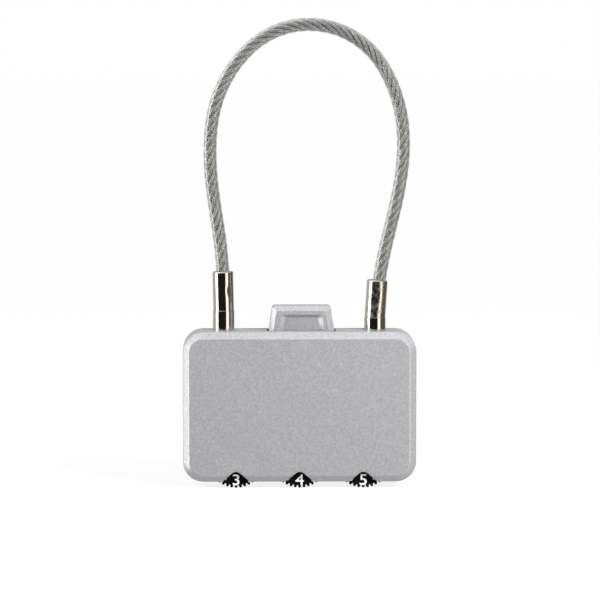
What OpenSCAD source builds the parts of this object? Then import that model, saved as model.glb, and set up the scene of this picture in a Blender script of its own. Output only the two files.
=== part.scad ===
// Cable luggage lock: a small briefcase-shaped case with three toothed number dials,
// a press handle that locks it, and a coated cable that pulls out at one end.
// +Z is up and the number faces look along -Y. The origin is under the case, in the
// middle of its width and depth, at the height of the dials' lowest teeth.

/* [Case] */
// Width of the case
case_w = 40; // [39:0.5:42]
// Height of the case, without the dials
case_h = 25.8; // [25.8:0.1:27]
// Depth of the case, front to back
case_d = 10; // [10:0.5:12]
// Corner radius of the case, seen from the front
case_r = 3.5; // [2.5:0.25:4.5]
// Width of the sloping edge round the front and back faces
edge_w = 1.12; // [1:0.02:1.16]
// Thickness of the case's walls
wall = 1.2; // [1.15:0.05:1.25]

/* [Dials] */
// Distance from one dial to the next
dial_pitch = 10.9; // [10.7:0.1:11.2]
// Radius of a dial at the tips of its teeth
dial_r = 5.04; // [5:0.01:5.1]
// How far the teeth stand out below the case
dial_drop = 1.06; // [1.04:0.02:1.1]
// Teeth on each dial
dial_teeth = 40; // [20:10:60]
// Depth of the dial's teeth
tooth_h = 0.45; // [0.3:0.05:0.5]
// Thickness of a number dial
dial_t = 2.6; // [2:0.1:2.6]
// Height of the bell-shaped window over each number
window_h = 1.8; // [1.6:0.05:1.9]
// Width of the window at the case's lower edge
window_w = 5.6; // [5:0.1:6]

/* [Handle] */
// Width of the handle where it leaves the case
handle_w = 11.25; // [10:0.05:12]
// Width of the handle at its top
handle_top_w = 10.15; // [9:0.05:10.5]
// Height of the handle above the case
handle_h = 4.3; // [3.6:0.1:6]
// Thickness of the handle
handle_t = 4.4; // [4.4:0.1:4.8]
// Distance of the handle from the middle of the case
handle_x = 0.35; // [0:0.05:0.5]
// How far the handle is pressed in to lock
press = 1.6; // [1.5:0.05:1.6]

/* [Cable] */
// Distance of each cable pin from the middle of the case
pin_x = 13; // [12.9:0.05:13.2]
// Radius of the cable pins
pin_r = 1.85; // [1.7:0.05:1.9]
// Outer radius of the crimp sleeves
sleeve_r = 1.78; // [1.6:0.02:1.85]
// Height of the fixed pin's shoulder above the case
anchor_rise = 3.4; // [2:0.1:5]
// Length of the sleeve on the fixed pin
anchor_sleeve_l = 6.85; // [5:0.05:8]
// Lean of the sleeve on the fixed pin, outwards
anchor_lean = 1.3; // [0:0.1:6]
// Height of the pull-out pin's shoulder above the case
plug_rise = 2.2; // [2:0.1:5]
// Length of the sleeve on the pull-out pin
plug_sleeve_l = 6.45; // [5:0.05:8]
// Lean of the sleeve on the pull-out pin, outwards
plug_lean = 6.8; // [3:0.1:8]
// Outer radius of the cable's clear coating
jacket_r = 1.15; // [1.13:0.01:1.17]
// Radius of the wire rope
rope_r = 1; // [0.8:0.01:1.04]

/* [Hidden] */

$fn = 64;
EPS = 0.01;

// Clearances: held parts, turning or sliding parts, and parts that must never touch
FIT = 0.02;
RUN = 0.05;
GAP = 0.1;

// Colours
PAINT = [0.70, 0.71, 0.72];
NICKEL = [0.55, 0.53, 0.50];
STEEL = [0.62, 0.63, 0.65];
BRASS = [0.72, 0.60, 0.35];
BLACK = [0.05, 0.05, 0.05];

// Planes of the case
case_z0 = dial_drop;
case_z1 = case_z0 + case_h;
front_y = -case_d / 2;
rear_y = case_d / 2;
inner_y = case_d / 2 - wall;
floor_z = case_z0 + wall;
ceiling_z = case_z1 - wall;
seam_chamfer = 0.14;
edge_round = 0.4;
lip_r = 0.3;

// Dials: number wheel in front, gate hub behind it, both on one axle
dial_z = dial_r;
dial_xs = [-dial_pitch, 0, dial_pitch];
wheel_y0 = -inner_y + GAP;
wheel_y1 = wheel_y0 + dial_t;
axle_r = 0.7;
axle_seat = 0.6;
barrel_r = 1.7;
key_w = 0.6;
key_h = 0.35;
flange_y0 = wheel_y1 + GAP;
flange_y1 = flange_y0 + 0.6;
flange_clear = 0.14;
flange_r = dial_z - floor_z - flange_clear;
cup_r = flange_r - GAP;
cup_wall = 0.45;
cup_y1 = 1.45;
hub_boss_r = 1.1;
notch_r = 0.4;
digits = 10;
gate_w = 1.3;

// Fence plate: its fingers drop through the hubs' gates when the handle is pressed
fence_y0 = 1.7;
fence_y1 = 2.3;
finger_w = 0.9;
finger_h = 0.5;
finger_y0 = 0;
finger_z = dial_z + hub_boss_r + GAP + press;
fence_half_w = 9.7;
fence_bar_z0 = finger_z + 0.6;
fence_bar_z1 = fence_bar_z0 + 2.8;
fence_bar_half_w = dial_pitch + 0.9;

// Guide pins on the rear shell, shared by the fence plate and the latch bolt
guide_z = 20;
guide_xs = [-8.4, 2.3, 8.4];
guide_r = 0.7;
guide_head_r = 1;
guide_boss_r = 1.4;
guide_boss_y = 2.6;

// Latch bolt: moved sideways by the cam pin, three quarters as far as the handle moves
latch_ratio = 0.75;
latch_move = press * latch_ratio;
latch_y0 = 0.7;
latch_y1 = 1.5;
latch_z0 = 17.9;
latch_z1 = 22.1;
latch_x0 = -0.6;
latch_x1 = 9.8;
nose_half_h = 0.45;
nose_z = 19.5;
nose_x0 = 10;
nose_x1 = 10.9;
nose_y0 = -0.8;
cam_r = 0.6;
cam_x = 5.3;
cam_z = guide_z + press / 2;

// Handle, its lugs under the top wall, and the springs that push it back up
lug_w = 1;
grip_foot_z = case_z1 - 0.9;
block_z0 = 23.9;
shoulder_z = block_z0 - 0.5;
lug_z0 = 24.2;
lug_z1 = ceiling_z - GAP;
tab_half_w = 5;
tab_z1 = lug_z1;
rivet_z = 24.75;
rivet_dx = 3.6;
rivet_r = 0.5;
spring_dx = 3.2;
spring_y = -1.1;
spring_r = 0.9;
spring_wire_r = 0.15;
spring_coils = 7;
peg_r = 0.6;
peg_l = 1.5;
seat_z = 15;
seat_t = 1.2;
seat_half_w = 1.4;

// Pins that carry the cable, and the blocks that hold them
block_half_w = 2.9;
anchor_block_z0 = 18.3;
plug_block_z0 = 22.4;
plug_low_z0 = 14.8;
plug_low_z1 = 17.4;
anchor_z0 = 16;
plug_z0 = 15.4;
clip_groove_z0 = anchor_block_z0 - 0.8;
clip_t = 0.6;
clip_neck_r = 1.1;
plug_groove_half = 0.65;
plug_neck_r = 0.8;
anchor_seam_z = case_z1 + anchor_rise;
plug_seam_z = case_z1 + plug_rise;
spigot_r = 0.8;
spigot_l = 1.2;
sleeve_bore_r = jacket_r + 0.07;
sleeve_lip_r = 0.35;
dent_r = 0.9;
dent_depth = 0.15;

// Case rivets, one near each corner
case_rivet_dx = case_w / 2 - 3;
case_rivet_zs = [case_z0 + 8.3, case_z1 - 4];
case_rivet_r = 0.75;
case_rivet_head_r = 1.35;
case_rivet_boss_r = 1.9;
case_rivet_head_y = 4.1;
case_rivet_y0 = -2.6;

// ---------------------------------------------------------------- shape helpers

// Extrudes an outline drawn in X and Z from depth y0 to depth y1
module slab(y0, y1) {
    translate([0, y1, 0])
        rotate([90, 0, 0])
            linear_extrude(y1 - y0)
                children();
}

// Cylinder along Y at [x, z] from depth y0 to depth y1
module rod(x, z, r, y0, y1) {
    translate([x, y0, z])
        rotate([-90, 0, 0])
            cylinder(r = r, h = y1 - y0);
}

// Box between two opposite corners
module box(a, b) {
    translate(a)
        cube(b - a);
}

// Keeps the half of a shape in front of (side = -1) or behind (side = 1) the parting plane
module half(side) {
    reach = case_w;
    intersection() {
        children();
        translate([-reach, side < 0 ? -reach : 0, 0])
            cube([2 * reach, reach, case_z1 + reach]);
    }
}

// Outline of a slot with round ends between points a and b
function stadium(a, b, r) =
    let (
        heading = atan2(b[1] - a[1], b[0] - a[0]),
        steps = 12
    )
    concat(
        [for (i = [0:steps]) b + r * [
            cos(heading - 90 + 180 * i / steps), sin(heading - 90 + 180 * i / steps)]],
        [for (i = [0:steps]) a + r * [
            cos(heading + 90 + 180 * i / steps), sin(heading + 90 + 180 * i / steps)]]
    );

// Outline of a strip of width w that follows a line of points
function strip_normal(line, i) =
    let (
        a = line[max(i - 1, 0)],
        b = line[min(i + 1, len(line) - 1)],
        d = (b - a) / norm(b - a)
    )
    [-d[1], d[0]];
function strip(line, w) =
    let (last = len(line) - 1)
    concat(
        [for (i = [0:last]) line[i] + strip_normal(line, i) * w / 2],
        [for (i = [last:-1:0]) line[i] - strip_normal(line, i) * w / 2]
    );

// Solid swept through a list of rings, each ring a loop of points
module sweep(rings) {
    sides = len(rings[0]);
    last = len(rings) - 1;
    points = [for (ring = rings) for (p = ring) p];
    start_cap = [[for (j = [0:sides - 1]) j]];
    end_cap = [[for (j = [sides - 1:-1:0]) last * sides + j]];
    walls = [for (i = [0:last - 1], j = [0:sides - 1]) let (k = (j + 1) % sides)
        for (corners = [[[0, j], [1, j], [1, k]], [[0, j], [1, k], [0, k]]])
            [for (c = corners) (i + c[0]) * sides + c[1]]];
    polyhedron(points = points, faces = concat(start_cap, end_cap, walls), convexity = 10);
}

// Hollow tube between two lists of matching rings
module sweep_tube(outer, inner) {
    sides = len(outer[0]);
    last = len(outer) - 1;
    points = [for (rings = [outer, inner]) for (ring = rings) for (p = ring) p];
    hole = sides * len(outer);
    outer_wall = [for (i = [0:last - 1], j = [0:sides - 1]) let (k = (j + 1) % sides)
        [i * sides + j, (i + 1) * sides + j, (i + 1) * sides + k, i * sides + k]];
    inner_wall = [for (f = outer_wall) [for (n = [3:-1:0]) f[n] + hole]];
    start_rim = [for (j = [0:sides - 1]) let (k = (j + 1) % sides)
        [j, k, hole + k, hole + j]];
    end_rim = [for (f = start_rim) [for (n = [3:-1:0]) f[n] + last * sides]];
    polyhedron(
        points = points, faces = concat(outer_wall, inner_wall, start_rim, end_rim),
        convexity = 10);
}

// ---------------------------------------------------------------- case

// Corner points of the case's outline, moved inwards by a margin
function case_outline(inset) =
    let (
        r = case_r - inset,
        steps = 12,
        cx = case_w / 2 - case_r,
        corners = [
            [cx, case_z1 - case_r], [-cx, case_z1 - case_r],
            [-cx, case_z0 + case_r], [cx, case_z0 + case_r]
        ]
    )
    [for (q = [0:3], i = [0:steps]) let (a = 90 * (q + i / steps))
        corners[q] + r * [cos(a), sin(a)]];
function case_ring(inset, y) = [for (p = case_outline(inset)) [p[0], y, p[1]]];

// Profile of a 45 degree edge of width w, rounded at both ends with radius r.
// Its points are [inset from the outline, depth below the face].
function sloping_edge(w, r, steps) =
    let (far = w + r * tan(22.5))
    concat(
        [for (i = [0:steps]) let (a = 45 * i / steps) [far - r * sin(a), r * (1 - cos(a))]],
        [for (i = [0:steps]) let (a = 45 + 45 * i / steps) [r * (1 - sin(a)), far - r * cos(a)]]
    );

// Solid half of the case with its sloping edge; side is -1 for the front, 1 for the rear
module case_half(side) {
    edge = [for (p = sloping_edge(edge_w, edge_round, 4))
        case_ring(p[0], side * (case_d / 2 - p[1]))];
    rings = concat(edge, [case_ring(0, side * seam_chamfer), case_ring(seam_chamfer, 0)]);
    last = len(rings) - 1;
    sweep(side > 0 ? rings : [for (i = [last:-1:0]) rings[i]]);
}

// Hollow of the case
module cavity() {
    slab(-inner_y, inner_y)
        polygon(case_outline(wall));
}

// Bell-shaped window outline: a raised cosine with its foot below the case's edge
module bell(w, h) {
    steps = 16;
    polygon(concat(
        [[w / 2 + 1, -2], [w / 2 + 1, 0]],
        [for (i = [0:steps]) let (u = 1 - 2 * i / steps)
            [u * w / 2, h * (1 + cos(180 * u)) / 2]],
        [[-w / 2 - 1, 0], [-w / 2 - 1, -2]]
    ));
}

// Rounds off the window's rim where it meets the case's front and its sloping edge
module bell_lip(w, h) {
    steps = 24;
    clear = 0.3;
    rings = [for (i = [0:steps])
        let (
            u = 2 * i / steps - 1,
            rise = (1 + cos(180 * u)) / 2,
            rim = [u * w / 2, h * rise],
            slope = [h * PI / 2 * sin(180 * u), w / 2],
            out = slope / norm(slope),
            r = lip_r * min(1, 0.1 + 3 * rise),
            // Section as [distance outwards from the rim, depth below the surface]
            section = concat(
                [[-clear, -clear], [-clear, r]],
                [for (k = [0:5]) let (a = 18 * k) r * [1 - cos(a), 1 - sin(a)]],
                [[r, -clear]])
        )
        [for (p = section)
            let (q = rim + p[0] * out, surface = front_y + max(0, min(edge_w, edge_w - q[1])))
            [q[0], surface + p[1], q[1]]]];
    sweep(rings);
}

// Window and bottom slot for each number wheel
module dial_cuts() {
    slot_half_w = dial_pitch / 2 - 1;
    for (x = dial_xs) {
        translate([x, 0, case_z0])
            union() {
                slab(front_y - 1, wheel_y0)
                    bell(window_w, window_h);
                bell_lip(window_w, window_h);
            }
        box([x - slot_half_w, -inner_y, case_z0 - 1], [x + slot_half_w, wheel_y1 + GAP, floor_z + EPS]);
    }
}

// Openings in the top wall, cut out of both shells: pin holes and handle slot
module top_cuts() {
    translate([-pin_x, 0, ceiling_z - 1])
        cylinder(r = pin_r + RUN, h = wall + 2);
    translate([pin_x, 0, ceiling_z - 1])
        cylinder(r = pin_r + GAP, h = wall + 2);
    box(
        [handle_x - handle_w / 2 - 3 * GAP, -handle_t / 2 - 2 * GAP, ceiling_z - EPS],
        [handle_x + handle_w / 2 + 3 * GAP, handle_t / 2 + 2 * GAP, case_z1 + 1]);
}

// Blocks that hold the two cable pins, without their bores
module pin_blocks() {
    box(
        [-pin_x - block_half_w, -inner_y - EPS, anchor_block_z0],
        [-pin_x + block_half_w, inner_y + EPS, ceiling_z + EPS]);
    box(
        [pin_x - block_half_w, -inner_y - EPS, plug_block_z0],
        [pin_x + block_half_w, inner_y + EPS, ceiling_z + EPS]);
    box(
        [pin_x - block_half_w, -inner_y - EPS, plug_low_z0],
        [pin_x + block_half_w, inner_y + EPS, plug_low_z1]);
}

module pin_bores() {
    translate([-pin_x, 0, anchor_block_z0 - 1])
        cylinder(r = pin_r + RUN, h = case_z1 - anchor_block_z0 + 2);
    translate([pin_x, 0, plug_low_z0 - 1])
        cylinder(r = pin_r + GAP, h = case_z1 - plug_low_z0 + 2);
}

// Bosses for the case rivets
module rivet_bosses(y0, y1) {
    for (x = [-1, 1], z = case_rivet_zs)
        rod(x * case_rivet_dx, z, case_rivet_boss_r, y0, y1);
}

// Side on which each dial's detent spring is held: 1 is its right, -1 its left
detent_sides = [1, -1, -1];
eye_dx = 4.55;
eye_dz = 5.6;
eye_post_r = 0.45;
fulcrum_dx = 2.4;
fulcrum_dz = 5.45;
fulcrum_r = 0.4;
leaf_t = 0.18;

module front_shell() {
    color(PAINT)
        difference() {
            union() {
                difference() {
                    case_half(-1);
                    cavity();
                }
                half(-1)
                    pin_blocks();
                rivet_bosses(-inner_y - EPS, 0);
                for (x = [-1, 1])
                    box(
                        [handle_x + x * spring_dx - seat_half_w, -inner_y - EPS, seat_z - seat_t],
                        [handle_x + x * spring_dx + seat_half_w, 0, seat_z]);
                for (i = [0:2]) {
                    rod(
                        dial_xs[i] + detent_sides[i] * eye_dx, dial_z + eye_dz,
                        eye_post_r, -inner_y - EPS, flange_y1 + GAP);
                    rod(
                        dial_xs[i] + detent_sides[i] * fulcrum_dx, dial_z + fulcrum_dz,
                        fulcrum_r, -inner_y - EPS, flange_y1 + GAP);
                }
            }
            dial_cuts();
            top_cuts();
            pin_bores();
            for (x = dial_xs)
                rod(x, dial_z, axle_r + FIT, -inner_y - axle_seat - FIT, 0);
            for (x = [-1, 1], z = case_rivet_zs)
                rod(x * case_rivet_dx, z, case_rivet_r + FIT, case_rivet_y0 - GAP, 1);
        }
}

module rear_shell() {
    color(PAINT)
        difference() {
            union() {
                difference() {
                    case_half(1);
                    cavity();
                }
                half(1)
                    pin_blocks();
                rivet_bosses(0, inner_y + EPS);
                for (x = guide_xs)
                    rod(x, guide_z, guide_boss_r, guide_boss_y, inner_y + EPS);
            }
            top_cuts();
            pin_bores();
            for (x = dial_xs)
                rod(x, dial_z, axle_r + FIT, 0, inner_y + axle_seat + FIT);
            for (x = guide_xs)
                rod(x, guide_z, guide_r + FIT, guide_boss_y - 1, inner_y + axle_seat + FIT);
            for (x = [-1, 1], z = case_rivet_zs) {
                rod(x * case_rivet_dx, z, case_rivet_r + FIT, -1, rear_y + 1);
                rod(x * case_rivet_dx, z, case_rivet_head_r + FIT, case_rivet_head_y, rear_y + 1);
            }
        }
}

// Four rivets that hold the shells together, their heads sunk in the rear face
module case_rivets() {
    head_recess = 0.12;
    color(STEEL)
        for (x = [-1, 1], z = case_rivet_zs) {
            rod(x * case_rivet_dx, z, case_rivet_r, case_rivet_y0, case_rivet_head_y + EPS);
            rod(x * case_rivet_dx, z, case_rivet_head_r, case_rivet_head_y, rear_y - head_recess);
        }
}

// Fixed axles of the three dials
module dial_axles() {
    color(STEEL)
        for (x = dial_xs)
            rod(x, dial_z, axle_r, -inner_y - axle_seat, inner_y + axle_seat);
}

// Headed pins that guide the fence plate and the latch bolt
module guide_pins() {
    head_y0 = 0.2;
    head_y1 = 0.6;
    color(STEEL)
        for (x = guide_xs) {
            rod(x, guide_z, guide_r, head_y1 - EPS, inner_y + axle_seat);
            rod(x, guide_z, guide_head_r, head_y0, head_y1);
        }
}

// Leaf spring whose bump rests in a notch of the gate hub, one notch per number
module detent_spring(i) {
    bump_w = 0.6;
    bump_h = 0.75;
    bump_foot = 0.2;
    bend_dx = 0.3;
    eye_wall = 0.27;
    leaf_dz = flange_r - notch_r + leaf_t / 2 + GAP + bump_h;
    tail_l = 1.4;
    tail_lift = 0.3;
    side = detent_sides[i];
    leaf = concat(
        [[-tail_l, leaf_dz + tail_lift], [-bump_w - bump_foot, leaf_dz]],
        [for (k = [-6:6]) let (u = k / 6)
            [u * bump_w, leaf_dz - bump_h * (1 + cos(180 * u)) / 2]],
        [
            [bump_w + bump_foot, leaf_dz],
            [fulcrum_dx + bend_dx, fulcrum_dz - fulcrum_r - leaf_t],
            [eye_dx + GAP, eye_dz - eye_post_r - eye_wall / 2]
        ]
    );
    eye_x = dial_xs[i] + side * eye_dx;
    y0 = flange_y0 + RUN;
    y1 = flange_y1 - RUN;
    color(STEEL)
        difference() {
            union() {
                translate([dial_xs[i], 0, dial_z])
                    slab(y0, y1)
                        polygon(strip([for (p = leaf) [side * p[0], p[1]]], leaf_t));
                rod(eye_x, dial_z + eye_dz, eye_post_r + eye_wall, y0, y1);
            }
            rod(eye_x, dial_z + eye_dz, eye_post_r + RUN, y0 - 1, y1 + 1);
        }
}
module detent_spring_left() { detent_spring(0); }
module detent_spring_mid() { detent_spring(1); }
module detent_spring_right() { detent_spring(2); }

// ---------------------------------------------------------------- dials

// Outline of a toothed number wheel
module toothed_disc() {
    pitch = 360 / dial_teeth;
    root_r = dial_r - tooth_h;
    // Each tooth as [turn in tooth pitches, radius]
    tooth = [
        [-0.42, root_r], [-0.26, dial_r - 0.1], [-0.1, dial_r],
        [0.1, dial_r], [0.26, dial_r - 0.1], [0.42, root_r]
    ];
    polygon([for (i = [0:dial_teeth - 1], t = tooth) let (a = (i + t[0]) * pitch - 90)
        t[1] * [cos(a), sin(a)]]);
}

module number_wheel(x) {
    color(BLACK)
        difference() {
            translate([x, 0, dial_z])
                slab(wheel_y0, wheel_y1)
                    toothed_disc();
            rod(x, dial_z, barrel_r + FIT, wheel_y0 - 1, wheel_y1 + 1);
            box(
                [x - key_w / 2 - FIT, wheel_y0 - 1, dial_z],
                [x + key_w / 2 + FIT, wheel_y1 + 1, dial_z + barrel_r + key_h + FIT]);
        }
}
module number_wheel_left() { number_wheel(dial_xs[0]); }
module number_wheel_mid() { number_wheel(dial_xs[1]); }
module number_wheel_right() { number_wheel(dial_xs[2]); }

// Hub that turns with a number wheel: detent notches, and a cup with one gate
module gate_hub(x) {
    barrel_y0 = wheel_y0 + 4 * GAP;
    color(BRASS)
        difference() {
            union() {
                rod(x, dial_z, barrel_r, barrel_y0, flange_y0 + EPS);
                box(
                    [x - key_w / 2, barrel_y0, dial_z + barrel_r - 0.5],
                    [x + key_w / 2, flange_y0 + EPS, dial_z + barrel_r + key_h]);
                rod(x, dial_z, flange_r, flange_y0, flange_y1);
                difference() {
                    rod(x, dial_z, cup_r, flange_y1 - EPS, cup_y1);
                    rod(x, dial_z, cup_r - cup_wall, flange_y1, cup_y1 + 1);
                }
                rod(x, dial_z, hub_boss_r, flange_y1 - EPS, inner_y - GAP);
            }
            rod(x, dial_z, axle_r + RUN, wheel_y0, rear_y);
            for (k = [0:digits - 1]) {
                a = 360 * k / digits;
                rod(
                    x + flange_r * sin(a), dial_z + flange_r * cos(a), notch_r,
                    flange_y0 - 1, flange_y1 + GAP);
            }
            box(
                [x - gate_w / 2, flange_y1, dial_z + cup_r - cup_wall - 2 * GAP],
                [x + gate_w / 2, cup_y1 + 1, dial_z + cup_r + 1]);
        }
}
module gate_hub_left() { gate_hub(dial_xs[0]); }
module gate_hub_mid() { gate_hub(dial_xs[1]); }
module gate_hub_right() { gate_hub(dial_xs[2]); }

// ---------------------------------------------------------------- handle and fence

// Part of the handle that stands above the case, with sloping edges front and back
module grip() {
    slope_w = 0.82;
    slope_r = 0.25;
    top_r = 0.6;
    least_r = 0.15;
    thin = 0.001;
    hull()
        for (side = [-1, 1], p = sloping_edge(slope_w, slope_r, 2)) {
            inset = p[0];
            y = side * (handle_t / 2 - p[1]);
            corner_r = max(top_r - inset, least_r);
            for (x = [-1, 1])
                translate([
                    handle_x + x * (handle_top_w / 2 - inset - corner_r), y - thin / 2,
                    case_z1 + handle_h - inset - corner_r])
                    rotate([-90, 0, 0])
                        cylinder(r = corner_r, h = thin, $fn = 32);
            translate([handle_x - handle_w / 2 + inset, y - thin / 2, case_z1 - 1])
                cube([handle_w - 2 * inset, thin, 1]);
        }
}

// Sunken panel in the grip's front (side = -1) or rear (side = 1). Its side walls slope
// more than its upper wall, and it runs down behind the case's top wall.
module grip_panel(side) {
    bar = 1.5;
    leg = 1.55;
    depth = 0.6;
    side_slope = 0.78;
    top_slope = 0.3;
    corner_r = 0.6;
    thin = 0.001;
    face_y = side * (handle_t / 2 + EPS);
    floor_y = side * (handle_t / 2 - depth);
    hull()
        for (level = [[face_y, 0], [floor_y, 1]]) {
            inset = leg + level[1] * side_slope;
            panel_z1 = case_z1 + handle_h - bar - level[1] * top_slope;
            slab(level[0] - thin, level[0] + thin)
                offset(r = corner_r)
                    offset(delta = -corner_r)
                        polygon([
                            [handle_x - handle_w / 2 + inset, grip_foot_z],
                            [handle_x + handle_w / 2 - inset, grip_foot_z],
                            [handle_x + handle_top_w / 2 - inset, panel_z1],
                            [handle_x - handle_top_w / 2 + inset, panel_z1]
                        ]);
        }
}

module handle() {
    color(PAINT)
        difference() {
            union() {
                grip();
                box(
                    [handle_x - handle_w / 2, -handle_t / 2, block_z0],
                    [handle_x + handle_w / 2, handle_t / 2, grip_foot_z]);
                box(
                    [handle_x - handle_w / 2 - lug_w, -handle_t / 2, lug_z0],
                    [handle_x + handle_w / 2 + lug_w, handle_t / 2, lug_z1]);
                for (x = [-1, 1])
                    translate([handle_x + x * spring_dx, spring_y, block_z0 - peg_l])
                        cylinder(r = peg_r, h = peg_l + EPS);
            }
            grip_panel(-1);
            grip_panel(1);
            box(
                [handle_x - tab_half_w - GAP, fence_y0 - FIT, block_z0 - 1],
                [handle_x + tab_half_w + GAP, handle_t, tab_z1 + GAP]);
            for (x = [-1, 1])
                rod(handle_x + x * rivet_dx, rivet_z, rivet_r + FIT, -handle_t, handle_t);
        }
}

// Stamped plate that follows the handle and carries a finger for each dial
module fence_plate() {
    neck_half_w = 0.9;
    color(STEEL)
        union() {
            slab(fence_y0, fence_y1)
                difference() {
                    union() {
                        polygon([
                            [-fence_bar_half_w, fence_bar_z0], [fence_bar_half_w, fence_bar_z0],
                            [fence_bar_half_w, fence_bar_z1], [fence_half_w, fence_bar_z1],
                            [fence_half_w, shoulder_z],
                            [handle_x + tab_half_w, shoulder_z], [handle_x + tab_half_w, tab_z1],
                            [handle_x - tab_half_w, tab_z1], [handle_x - tab_half_w, shoulder_z],
                            [-fence_half_w, shoulder_z],
                            [-fence_half_w, fence_bar_z1], [-fence_bar_half_w, fence_bar_z1]
                        ]);
                        for (x = dial_xs)
                            translate([x - neck_half_w, finger_z])
                                square([2 * neck_half_w, 1]);
                    }
                    for (x = guide_xs)
                        polygon(stadium([x, guide_z], [x, guide_z + press], guide_r + RUN));
                    translate([cam_x, cam_z])
                        circle(cam_r + FIT);
                    for (x = [-1, 1])
                        translate([handle_x + x * rivet_dx, rivet_z])
                            circle(rivet_r + FIT);
                }
            for (x = dial_xs)
                box(
                    [x - finger_w / 2, finger_y0, finger_z],
                    [x + finger_w / 2, fence_y0 + EPS, finger_z + finger_h]);
        }
}

// Two rivets that join the fence plate to the handle
module fence_rivets() {
    head_r = 0.9;
    head_t = 0.4;
    color(STEEL)
        for (x = [-1, 1]) {
            rod(handle_x + x * rivet_dx, rivet_z, rivet_r, -handle_t / 2 + GAP, fence_y1 + EPS);
            rod(handle_x + x * rivet_dx, rivet_z, head_r, fence_y1, fence_y1 + head_t);
        }
}

// Pin on the fence plate that works the latch bolt
module cam_pin() {
    head_r = 0.9;
    head_t = 0.25;
    tip = 0.2;
    color(STEEL) {
        rod(cam_x, cam_z, cam_r, latch_y0 - tip, fence_y1 + EPS);
        rod(cam_x, cam_z, head_r, fence_y1, fence_y1 + head_t);
    }
}

// Rings of a coil spring's wire, from its lower end to its upper end
function coil_rings(h) =
    let (
        per_turn = 14,
        sides = 5,
        rise = (h - 2 * spring_wire_r) / spring_coils,
        slope = atan2(rise, 2 * PI * spring_r)
    )
    [for (i = [0:per_turn * spring_coils])
        let (a = 360 * i / per_turn, out = [cos(a), sin(a), 0],
            up = [sin(a) * sin(slope), -cos(a) * sin(slope), cos(slope)])
        [for (j = [0:sides - 1]) let (b = 360 * j / sides)
            spring_r * out + [0, 0, spring_wire_r + rise * a / 360]
            + spring_wire_r * (cos(b) * out + sin(b) * up)]];

// Two springs that lift the handle
module handle_springs() {
    color(STEEL)
        for (x = [-1, 1])
            translate([handle_x + x * spring_dx, spring_y, seat_z + FIT])
                sweep(coil_rings(block_z0 - seat_z - 2 * FIT));
}

// Sliding bolt whose nose enters the plug's groove when the handle goes down
module latch_bolt() {
    color(BRASS)
        difference() {
            union() {
                box([latch_x0, latch_y0, latch_z0], [latch_x1, latch_y1, latch_z1]);
                box(
                    [latch_x1 - EPS, latch_y0, nose_z - nose_half_h],
                    [nose_x1, latch_y1, nose_z + nose_half_h]);
                box(
                    [nose_x0, nose_y0, nose_z - nose_half_h],
                    [nose_x1, latch_y1, nose_z + nose_half_h]);
            }
            slab(latch_y0 - 1, latch_y1 + 1)
                polygon(stadium(
                    [cam_x, cam_z], [cam_x - latch_move, cam_z - press], cam_r + RUN));
            for (x = [guide_xs[1], guide_xs[2]])
                slab(latch_y0 - 1, latch_y1 + 1)
                    polygon(stadium([x, guide_z], [x - latch_move, guide_z], guide_r + RUN));
        }
}

// ---------------------------------------------------------------- cable and its pins

// Turned pin with a groove, a shoulder for the sleeve and a spigot inside it
module cable_pin(z0, z1, groove_z0, groove_z1, neck_r) {
    chamfer = 0.4;
    rotate_extrude()
        polygon([
            [0, z0], [pin_r - chamfer, z0], [pin_r, z0 + chamfer],
            [pin_r, groove_z0], [neck_r, groove_z0], [neck_r, groove_z1], [pin_r, groove_z1],
            [pin_r, z1], [spigot_r, z1], [spigot_r, z1 + spigot_l], [0, z1 + spigot_l]
        ]);
}

// Crimp sleeve that leans out by an angle and sits flat on its pin's shoulder
module sleeve(lean, length) {
    skirt = 1;
    lip = [for (i = [0:6]) let (a = 15 * i)
        [sleeve_r - sleeve_lip_r * (1 - cos(a)), length - sleeve_lip_r * (1 - sin(a))]];
    difference() {
        rotate([0, lean, 0])
            difference() {
                rotate_extrude()
                    polygon(concat(
                        [[sleeve_bore_r, -skirt], [sleeve_r, -skirt]], lip,
                        [[sleeve_bore_r, length]]));
                for (side = [-1, 1])
                    translate([0, side * (sleeve_r + dent_r - dent_depth), length / 2])
                        sphere(r = dent_r);
            }
        translate([-2 * pin_r, -2 * pin_r, -3 * skirt])
            cube([4 * pin_r, 4 * pin_r, 3 * skirt]);
    }
}

module anchor_pin() {
    color(NICKEL)
        translate([-pin_x, 0, 0])
            cable_pin(
                anchor_z0, anchor_seam_z, clip_groove_z0, anchor_block_z0, clip_neck_r);
}

// Spring clip that keeps the fixed pin from pulling out
module anchor_clip() {
    clip_r = 2.6;
    mouth = 2 * clip_neck_r - 0.2;
    color(STEEL)
        translate([-pin_x, 0, clip_groove_z0 + GAP])
            difference() {
                cylinder(r = clip_r, h = clip_t);
                translate([0, 0, -1])
                    cylinder(r = clip_neck_r + FIT, h = clip_t + 2);
                translate([-mouth / 2, -2 * clip_r, -1])
                    cube([mouth, 2 * clip_r, clip_t + 2]);
            }
}

module anchor_sleeve() {
    color(NICKEL)
        translate([-pin_x, 0, anchor_seam_z])
            sleeve(-anchor_lean, anchor_sleeve_l);
}

module plug_pin() {
    color(NICKEL)
        translate([pin_x, 0, 0])
            cable_pin(
                plug_z0, plug_seam_z, nose_z - plug_groove_half, nose_z + plug_groove_half,
                plug_neck_r);
}

module plug_sleeve() {
    color(NICKEL)
        translate([pin_x, 0, plug_seam_z])
            sleeve(plug_lean, plug_sleeve_l);
}

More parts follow.
